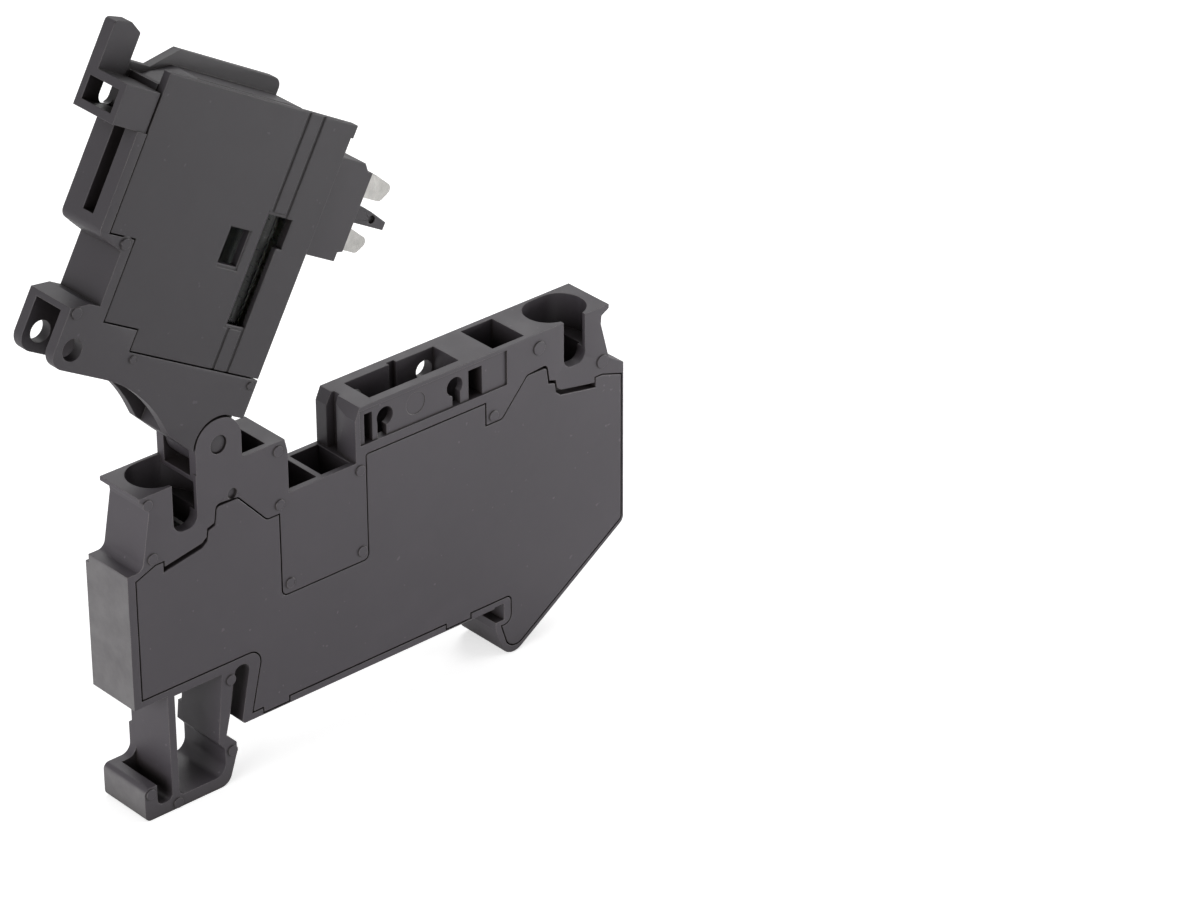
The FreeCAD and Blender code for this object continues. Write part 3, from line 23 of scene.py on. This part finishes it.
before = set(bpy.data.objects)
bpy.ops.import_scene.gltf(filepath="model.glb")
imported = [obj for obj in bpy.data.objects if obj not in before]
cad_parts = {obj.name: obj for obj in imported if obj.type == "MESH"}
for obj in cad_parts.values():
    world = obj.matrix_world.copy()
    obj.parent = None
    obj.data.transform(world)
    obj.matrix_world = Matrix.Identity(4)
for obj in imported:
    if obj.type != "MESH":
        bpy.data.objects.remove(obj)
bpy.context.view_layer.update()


def show(thing):
    """Puts an object in the scene."""
    bpy.context.scene.collection.objects.link(thing)
    return thing


def feed(tree, socket, value):
    """Links a node's output to a socket, or sets a plain value on it."""
    if hasattr(value, "is_output"):
        tree.links.new(value, socket)
    elif socket.type == "RGBA":
        socket.default_value = (*value, 1.0)
    else:
        socket.default_value = value


def add_node(tree, kind, inputs=None, **settings):
    """A new node with its settings, and with its inputs linked or set."""
    node = tree.nodes.new(kind)
    for key, value in settings.items():
        setattr(node, key, value)
    for key, value in (inputs or {}).items():
        feed(tree, node.inputs[key], value)
    return node


# Camera

LENS = 149.1
SENSOR = 36.0
CLIP = (0.05, 5.0)
YAW = math.radians(42.24)
PITCH = math.radians(30.26)
ROLL = math.radians(0.17)
SHIFT = (-0.0276, 0.0617)
# One known corner of the block, and how far it lies ahead, right and up of the camera
ANCHOR = Vector((-27.371, -3.25, 6.666)) * MM
ANCHOR_DEPTH = 466.5 * MM
ANCHOR_RIGHT = -46.14 * MM
ANCHOR_UP = -17.08 * MM


def make_camera():
    """Camera at the photograph's angle, placed by one known corner of the block."""
    ahead = Vector((math.sin(YAW) * math.cos(PITCH), math.cos(YAW) * math.cos(PITCH),
                    -math.sin(PITCH)))
    right = Vector((math.cos(YAW), -math.sin(YAW), 0.0))
    up = right.cross(ahead)
    place = ANCHOR - ahead * ANCHOR_DEPTH - right * ANCHOR_RIGHT - up * ANCHOR_UP
    turn = Matrix((right, up, -ahead)).transposed().to_4x4() @ Matrix.Rotation(ROLL, 4, "Z")
    data = bpy.data.cameras.new("camera")
    data.lens = LENS
    data.sensor_width = SENSOR
    data.shift_x, data.shift_y = SHIFT
    data.clip_start, data.clip_end = CLIP
    camera = show(bpy.data.objects.new("camera", data))
    camera.matrix_world = Matrix.Translation(place) @ turn
    bpy.context.scene.camera = camera


# Studio: floor, world and lamps

# Strength of the world as light, in reflections and as the background
WORLD_LIGHT = 0.33
WORLD_MIRRORED = 0.55
WORLD_SEEN = 1.0
FLOOR_REACH = 3.0
FLOOR_COLOUR = (0.9, 0.9, 0.9, 1.0)
FLOOR_ROUGHNESS = 0.9
FLOOR_SPECULAR = 0.2
# What the floor adds to its own light for the camera and in reflections, so that it looks white
FLOOR_LIFT = 0.6
FLOOR_LIFT_MIRRORED = 0.15
# Name, place, target, width in metres and power in watts
LAMPS = [
    ("key", (-0.55, -0.13, 0.17), (0.0, 0.0, 0.03), 0.35, 2.1),
    ("fill", (0.19, -0.12, 0.02), (0.04, 0.0, 0.015), 0.12, 0.34),
    ("rim", (0.3, 0.35, 0.5), (0.0, 0.0, 0.03), 0.3, 1.2),
]


def level_by_ray(tree, lighting, mirrored, seen):
    """One level for rays that light the object, one for reflections, one for the view."""
    path = add_node(tree, "ShaderNodeLightPath")
    level = lighting
    for ray, value in (("Is Glossy Ray", mirrored), ("Is Camera Ray", seen),
                       ("Is Transmission Ray", seen)):
        pick = add_node(tree, "ShaderNodeMix",
                        {"Factor": path.outputs[ray], "A": level, "B": value})
        level = pick.outputs["Result"]
    return level


def make_floor():
    """Large pale floor that keeps the object's shadow."""
    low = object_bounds()[0].z
    near, far = -FLOOR_REACH, FLOOR_REACH
    corners = [(near, near, low), (far, near, low), (far, far, low), (near, far, low)]
    mesh = bpy.data.meshes.new("floor")
    mesh.from_pydata(corners, [], [(0, 1, 2, 3)])
    floor = show(bpy.data.objects.new("floor", mesh))
    material = bpy.data.materials.new("floor_white")
    material.use_nodes = True
    tree = material.node_tree
    shader = tree.nodes["Principled BSDF"]
    shader.inputs["Base Color"].default_value = FLOOR_COLOUR
    shader.inputs["Roughness"].default_value = FLOOR_ROUGHNESS
    shader.inputs["Specular IOR Level"].default_value = FLOOR_SPECULAR
    shader.inputs["Emission Color"].default_value = WHITE
    lift = level_by_ray(tree, 0.0, FLOOR_LIFT_MIRRORED, FLOOR_LIFT)
    tree.links.new(lift, shader.inputs["Emission Strength"])
    mesh.materials.append(material)


def make_lamp(name, spot, target, size, watts):
    """Soft square area lamp aimed at a point."""
    data = bpy.data.lights.new(name, "AREA")
    data.shape = "SQUARE"
    data.size = size
    data.energy = watts
    lamp = show(bpy.data.objects.new(name, data))
    lamp.location = spot
    aim = Vector(target) - Vector(spot)
    lamp.rotation_euler = aim.to_track_quat("-Z", "Y").to_euler()


def make_light():
    """Dim even surroundings that look white, a side key, a low fill and a faint rim."""
    scene = bpy.context.scene
    scene.view_settings.view_transform = "Standard"
    world = bpy.data.worlds.new("studio")
    scene.world = world
    world.use_nodes = True
    tree = world.node_tree
    background = tree.nodes["Background"]
    background.inputs["Color"].default_value = WHITE
    level = level_by_ray(tree, WORLD_LIGHT, WORLD_MIRRORED, WORLD_SEEN)
    tree.links.new(level, background.inputs["Strength"])
    for lamp in LAMPS:
        make_lamp(*lamp)


# Materials

# Noise patterns: cells per metre, levels of detail, and share of each finer level
FLOW = (45.0, 3.0, 0.5)
SAG = (110.0, 2.0, 0.4)
CLOUD = (240.0, 4.0, 0.55)
BLOTCH = (420.0, 5.0, 0.65)
PATCH = (700.0, 4.0, 0.6)
HAZE = (900.0, 3.0, 0.5)
STREAK = (900.0, 3.0, 0.6)
SPECK = (1500.0, 1.0, 0.4)
GRAIN = (5200.0, 2.0, 0.6)

# Ranges of a pattern over which a colour or roughness changes
FLOW_RANGE = (0.3, 0.7)
PATCH_RANGE = (0.3, 0.62)
STREAK_RANGE = (0.3, 0.7)

# Spans: two values of a pattern, angle or place, and what each of them gives
CLOUD_TO_PALE = (0.55, 0.85, 0.0, 0.5)
# Rubbed-edge spans: edges lighten as pale wear and as a painted highlight
CLOUD_TO_RUB_AND_HIGHLIGHT = (0.38, 0.6, 0.2, 1.0)
CLOUD_TO_ROUGHNESS = (0.3, 0.75, 0.42, 0.56)
# Edge span of the rubbed wear and painted highlight
EDGE_TO_RUB_AND_HIGHLIGHT = (0.995, 0.88, 0.0, 1.0)
SPECK_TO_DUST = (0.76, 0.8, 0.0, 0.4)
# Gap and hollow spans of the painted shade: the less open a spot, the darker it is painted
GAP_TO_UNSHADED = (0.45, 0.92, 0.0, 1.0)
HOLLOW_TO_UNSHADED = (0.25, 0.8, 0.1, 1.0)
HAZE_TO_ROUGHNESS = (0.3, 0.8, 0.02, 0.1)

# Paler left end of the housing: on its face, below its neck, and in blotches
END_FACE = (-27.1 * MM, -27.3 * MM, 0.0, 1.0)
END_BELOW_NECK = (21.6 * MM, 21.0 * MM, 0.0, 1.0)
END_OUTWARD = (-0.75, -0.95, 0.0, 1.0)
END_BLOTCH = (0.3, 0.65, 0.55, 1.0)

# Shades and tints, as shares of a plastic's own level; grey has a trace of violet
GREY_TINT = (1.0, 0.885, 1.03)
FLOW_DARK = 0.94
FLOW_LIGHT = 1.07
CLOUD_SHADE = 1.3
DUST_SHADE = 2.6
# Lighter tint of rubbed edges: pale wear and a painted highlight
RUB_AND_HIGHLIGHT_TINT = (4.0, 3.7, 3.6)
END_TINT = (2.5, 2.4, 2.45)
# Colour of the painted shade laid into gaps and hollows
PAINTED_SHADE_TINT = (0.24, 0.18, 0.17)

# Bumps: strength and depth
SAG_BUMP = (0.3, 0.1 * MM)
GRAIN_BUMP = (0.2, 0.02 * MM)
STREAK_BUMP = (0.3, 0.02 * MM)

# Along X, Y and Z, how a plastic's own shift moves its patterns, so that no two pieces share one
SHIFT_ALONG = (1.0, 0.7, 1.3)
SOFT_EDGE = 0.09 * MM
SOFT_EDGE_SAMPLES = 6
# AO reaches of the painted shade in narrow gaps and wide hollows
NARROW_GAP = 0.35 * MM
WIDE_HOLLOW = 5.0 * MM
OPENNESS_SAMPLES = 8
PLASTIC_IOR = 1.5

# Draw lines lie close together along the named axis
LINES_ACROSS_X = (8.0, 1.0, 1.0)
LINES_ACROSS_Y = (1.0, 8.0, 1.0)
LINES_ACROSS_Z = (1.0, 1.0, 8.0)
NO_LINES = (1.0, 1.0, 1.0)
DULL_METAL = 0.72
# Shares of a metal's own roughness
SMOOTHEST = 0.75
ROUGHEST = 1.35

GLASS_COLOUR = (0.95, 0.98, 0.97)
GLASS_IOR = 1.47
# The tube reflects little inside its dark chamber
GLASS_MIRROR = (0.2, 0.2, 0.2)


class Nodes:
    """Small helper that adds linked nodes to a material."""

    def __init__(self, name):
        self.material = bpy.data.materials.new(name)
        self.material.use_nodes = True
        self.tree = self.material.node_tree
        self.shader = self.tree.nodes["Principled BSDF"]
        self.place = self.add("ShaderNodeTexCoord").outputs["Object"]

    def add(self, kind, inputs=None, **settings):
        return add_node(self.tree, kind, inputs, **settings)

    def to_shader(self, name, value):
        feed(self.tree, self.shader.inputs[name], value)

    def noise(self, point, scale, detail, rough):
        inputs = {"Vector": point, "Scale": scale, "Detail": detail, "Roughness": rough}
        return self.add("ShaderNodeTexNoise", inputs).outputs["Fac"]

    def ramp(self, value, low, high, dark, light):
        node = self.add("ShaderNodeValToRGB", {"Fac": value})
        stops = ((low, dark), (high, light))
        for element, (spot, colour) in zip(node.color_ramp.elements, stops):
            element.position = spot
            element.color = (*colour, 1.0)
        return node.outputs["Color"]

    def span(self, value, low, high, to_low, to_high):
        inputs = {"Value": value, "From Min": low, "From Max": high, "To Min": to_low,
                  "To Max": to_high}
        return self.add("ShaderNodeMapRange", inputs).outputs["Result"]

    def times(self, first, second):
        node = self.add("ShaderNodeMath", {0: first, 1: second}, operation="MULTIPLY")
        return node.outputs[0]

    def vector(self, operation, first, second, output):
        node = self.add("ShaderNodeVectorMath", {0: first, 1: second}, operation=operation)
        return node.outputs[output]

    def axes(self, vector):
        return self.add("ShaderNodeSeparateXYZ", {0: vector}).outputs

    def mix(self, share, first, second):
        inputs = {"Factor": share, "A": first, "B": second}
        return self.add("ShaderNodeMix", inputs, data_type="RGBA").outputs["Result"]

    def openness(self, reach):
        """1 on open surfaces, and less in gaps and hollows narrower than the reach."""
        node = self.add("ShaderNodeAmbientOcclusion", {"Distance": reach},
                        samples=OPENNESS_SAMPLES)
        return node.outputs["AO"]

    def bump(self, height, strength, depth, **normal):
        inputs = {"Strength": strength, "Distance": depth, "Height": height, **normal}
        return self.add("ShaderNodeBump", inputs).outputs["Normal"]


def tinted(level, tint):
    return tuple(level * share for share in tint)


def grey(level):
    return tinted(level, GREY_TINT)


def end_share(n, point, normal):
    """Share of the paler colour on the housing's left end: on its left-facing face, below its
    neck, in blotches.
    """
    place = n.axes(n.place)
    face = n.span(place["X"], *END_FACE)
    below_neck = n.span(place["Z"], *END_BELOW_NECK)
    outward = n.span(n.axes(normal)["X"], *END_OUTWARD)
    blotch = n.span(n.noise(point, *BLOTCH), *END_BLOTCH)
    return n.times(n.times(face, outward), n.times(below_neck, blotch))


def plastic(name, level, shift, pale_end=False):
    """Dark filled plastic: flow mottling, grain, dust specks, rubbed edges with a painted
    highlight, and painted shade in gaps and hollows.
    """
    n = Nodes(name)
    point = n.vector("ADD", n.place, tinted(shift, SHIFT_ALONG), "Vector")
    soft_edge = n.add("ShaderNodeBevel", {"Radius": SOFT_EDGE}, samples=SOFT_EDGE_SAMPLES)
    soft_normal = soft_edge.outputs["Normal"]
    true_normal = n.add("ShaderNodeNewGeometry").outputs["Normal"]
    cloud = n.noise(point, *CLOUD)

    colour = n.ramp(n.noise(point, *FLOW), *FLOW_RANGE, grey(level * FLOW_DARK),
                    grey(level * FLOW_LIGHT))
    colour = n.mix(n.span(cloud, *CLOUD_TO_PALE), colour, grey(level * CLOUD_SHADE))

    # Rubbed edges: pale wear together with a painted highlight on edges the soft bevel rounds
    along = n.vector("DOT_PRODUCT", soft_normal, true_normal, "Value")
    rubbed_and_highlight = n.times(n.span(along, *EDGE_TO_RUB_AND_HIGHLIGHT), n.span(cloud, *CLOUD_TO_RUB_AND_HIGHLIGHT))
    colour = n.mix(rubbed_and_highlight, colour, tinted(level, RUB_AND_HIGHLIGHT_TINT))
    if pale_end:
        colour = n.mix(end_share(n, point, true_normal), colour, tinted(level, END_TINT))

    dust = n.span(n.noise(point, *SPECK), *SPECK_TO_DUST)
    colour = n.mix(dust, colour, grey(level * DUST_SHADE))

    # Painted shade: the colour darkens in narrow gaps and wide hollows, by ambient occlusion
    unshaded_share = n.times(n.span(n.openness(NARROW_GAP), *GAP_TO_UNSHADED),
                   n.span(n.openness(WIDE_HOLLOW), *HOLLOW_TO_UNSHADED))
    n.to_shader("Base Color", n.mix(unshaded_share, tinted(level, PAINTED_SHADE_TINT), colour))
    n.to_shader("Roughness", n.span(cloud, *CLOUD_TO_ROUGHNESS))
    n.to_shader("IOR", PLASTIC_IOR)

    sag = n.bump(n.noise(point, *SAG), *SAG_BUMP, Normal=soft_normal)
    n.to_shader("Normal", n.bump(n.noise(point, *GRAIN), *GRAIN_BUMP, Normal=sag))
    return n.material


def metal(name, colour, rough, stretch):
    """Rolled or tinned metal with fine draw lines and dull patches."""
    n = Nodes(name)
    lines = n.add("ShaderNodeMapping", {"Vector": n.place, "Scale": stretch}).outputs["Vector"]
    streak = n.noise(lines, *STREAK)
    patch = n.noise(n.place, *PATCH)
    n.to_shader("Base Color", n.ramp(patch, *PATCH_RANGE, tinted(DULL_METAL, colour), colour))
    n.to_shader("Metallic", 1.0)
    n.to_shader("Roughness", n.span(streak, *STREAK_RANGE, rough * SMOOTHEST, rough * ROUGHEST))
    n.to_shader("Normal", n.bump(streak, *STREAK_BUMP))
    return n.material


def glass(name):
    """Clear tube glass with slight haze."""
    n = Nodes(name)
    n.to_shader("Base Color", GLASS_COLOUR)
    n.to_shader("Roughness", n.span(n.noise(n.place, *HAZE), *HAZE_TO_ROUGHNESS))
    n.to_shader("Transmission Weight", 1.0)
    n.to_shader("IOR", GLASS_IOR)
    n.to_shader("Specular Tint", GLASS_MIRROR)
    return n.material


# Edges of the moulded nodes

# Angles between two faces
SHARP_FROM = math.radians(32.0)
SMOOTH_BELOW = math.radians(16.0)
FLAT_WITHIN = math.radians(0.3)
WELD_GAP = 0.002 * MM
EDGE_SEGMENTS = 2
# Edge radius in mm, whether flat facets are merged first, and spots that stay sharp, as x, y, z
# and reach in mm: two openings meet there at a knife edge, or a mark touches an edge
MOULDED_EDGES = {
    "housing": (0.04, False, [(-16.3, -3.3, -2.0, 1.6)]),
    "side_cover": (0.08, True),
    "lever_carrier": (0.04, False, [(-23.3, 1.9, 65.6, 2.2)]),
    "lever_cover": (0.08, True),
}


class Shaping:
    """Small helper for a geometry node group used as a modifier."""

    def __init__(self, name):
        self.tree = bpy.data.node_groups.new(name, "GeometryNodeTree")
        for way in ("INPUT", "OUTPUT"):
            self.tree.interface.new_socket("Geometry", in_out=way,
                                           socket_type="NodeSocketGeometry")
        self.shape = self.add("NodeGroupInput").outputs[0]

    def add(self, kind, inputs=None, **settings):
        return add_node(self.tree, kind, inputs, **settings)

    def math(self, operation, first, second):
        node = self.add("ShaderNodeMath", {0: first, 1: second}, operation=operation)
        return node.outputs[0]

    def edge_angle(self, kind):
        return self.add("GeometryNodeInputMeshEdgeAngle").outputs[kind]

    def step(self, kind, inputs, **settings):
        node = self.add(kind, {**inputs, "Geometry": self.shape}, **settings)
        self.shape = node.outputs["Geometry"]

    def finish(self):
        self.add("NodeGroupOutput", {0: self.shape})
        return self.tree


def edge_weights(name, spared):
    """Marks the sharp outer edges for the bevel, apart from those near the spared spots."""
    group = Shaping(name)
    weight = group.math("GREATER_THAN", group.edge_angle("Signed Angle"), SHARP_FROM)
    place = group.add("GeometryNodeInputPosition").outputs[0]
    for x, y, z, reach in spared:
        gap = group.add("ShaderNodeVectorMath", {0: place, 1: (x * MM, y * MM, z * MM)},
                        operation="DISTANCE").outputs["Value"]
        away = group.math("GREATER_THAN", gap, reach * MM)
        weight = group.math("MULTIPLY", weight, away)
    group.step("GeometryNodeRemoveAttribute", {"Name": "custom_normal"})
    group.step("GeometryNodeStoreNamedAttribute", {"Name": "bevel_weight_edge", "Value": weight},
               domain="EDGE", data_type="FLOAT")
    return group.finish()


def crisp_shading(name):
    """Flat faces stay flat, and arcs of many facets look round."""
    group = Shaping(name)
    smooth = group.math("LESS_THAN", group.edge_angle("Unsigned Angle"), SMOOTH_BELOW)
    group.step("GeometryNodeSetShadeSmooth", {"Shade Smooth": True}, domain="FACE")
    group.step("GeometryNodeSetShadeSmooth", {"Shade Smooth": smooth}, domain="EDGE")
    return group.finish()


def add_modifier(node, name, kind, **settings):
    modifier = node.modifiers.new(name, kind)
    for key, value in settings.items():
        setattr(modifier, key, value)


def round_edges(node, width, merge_flats=False, spared=()):
    """Rounded edges on a CAD node, added as modifiers."""
    add_modifier(node, "weld", "WELD", merge_threshold=WELD_GAP)
    if merge_flats:
        add_modifier(node, "flat", "DECIMATE", decimate_type="DISSOLVE", angle_limit=FLAT_WITHIN)
    add_modifier(node, "sharp_edges", "NODES",
                 node_group=edge_weights(node.name + "_edges", spared))
    add_modifier(node, "edge", "BEVEL", width=width * MM, segments=EDGE_SEGMENTS,
                 limit_method="WEIGHT", use_clamp_overlap=False, miter_outer="MITER_SHARP")
    add_modifier(node, "crisp", "NODES", node_group=crisp_shading(node.name + "_crisp"))


# Finish of each CAD node

def dress():
    """A material for every CAD node, and rounded edges on the moulded ones."""
    blade = metal("tinned_blade", (0.52, 0.51, 0.49), 0.22, LINES_ACROSS_X)
    spring = metal("spring_steel", (0.75, 0.75, 0.74), 0.4, LINES_ACROSS_Y)
    cap = metal("nickel_cap", (0.68, 0.66, 0.62), 0.2, LINES_ACROSS_X)
    strip = metal("tinned_strip", (0.62, 0.61, 0.58), 0.32, LINES_ACROSS_Z)
    finish = {
        "housing": plastic("housing_plastic", 0.062, 0.0, pale_end=True),
        "side_cover": plastic("cover_plastic", 0.061, 0.31),
        "lever_carrier": plastic("carrier_plastic", 0.039, 0.57),
        "lever_cover": plastic("lid_plastic", 0.033, 0.83),
        "contact_blade_left": blade,
        "contact_blade_right": blade,
        "cage_clamp_left": spring,
        "cage_clamp_right": spring,
        "fuse_cap_left": cap,
        "fuse_cap_right": cap,
        "fuse_wire": metal("fuse_wire_metal", (0.6, 0.5, 0.32), 0.35, NO_LINES),
        "fuse_tube": glass("fuse_tube_glass"),
    }
    for name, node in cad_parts.items():
        if name in MOULDED_EDGES:
            round_edges(node, *MOULDED_EDGES[name])
        node.data.materials.clear()
        node.data.materials.append(finish.get(name, strip))


make_camera()
make_light()
dress()
make_floor()
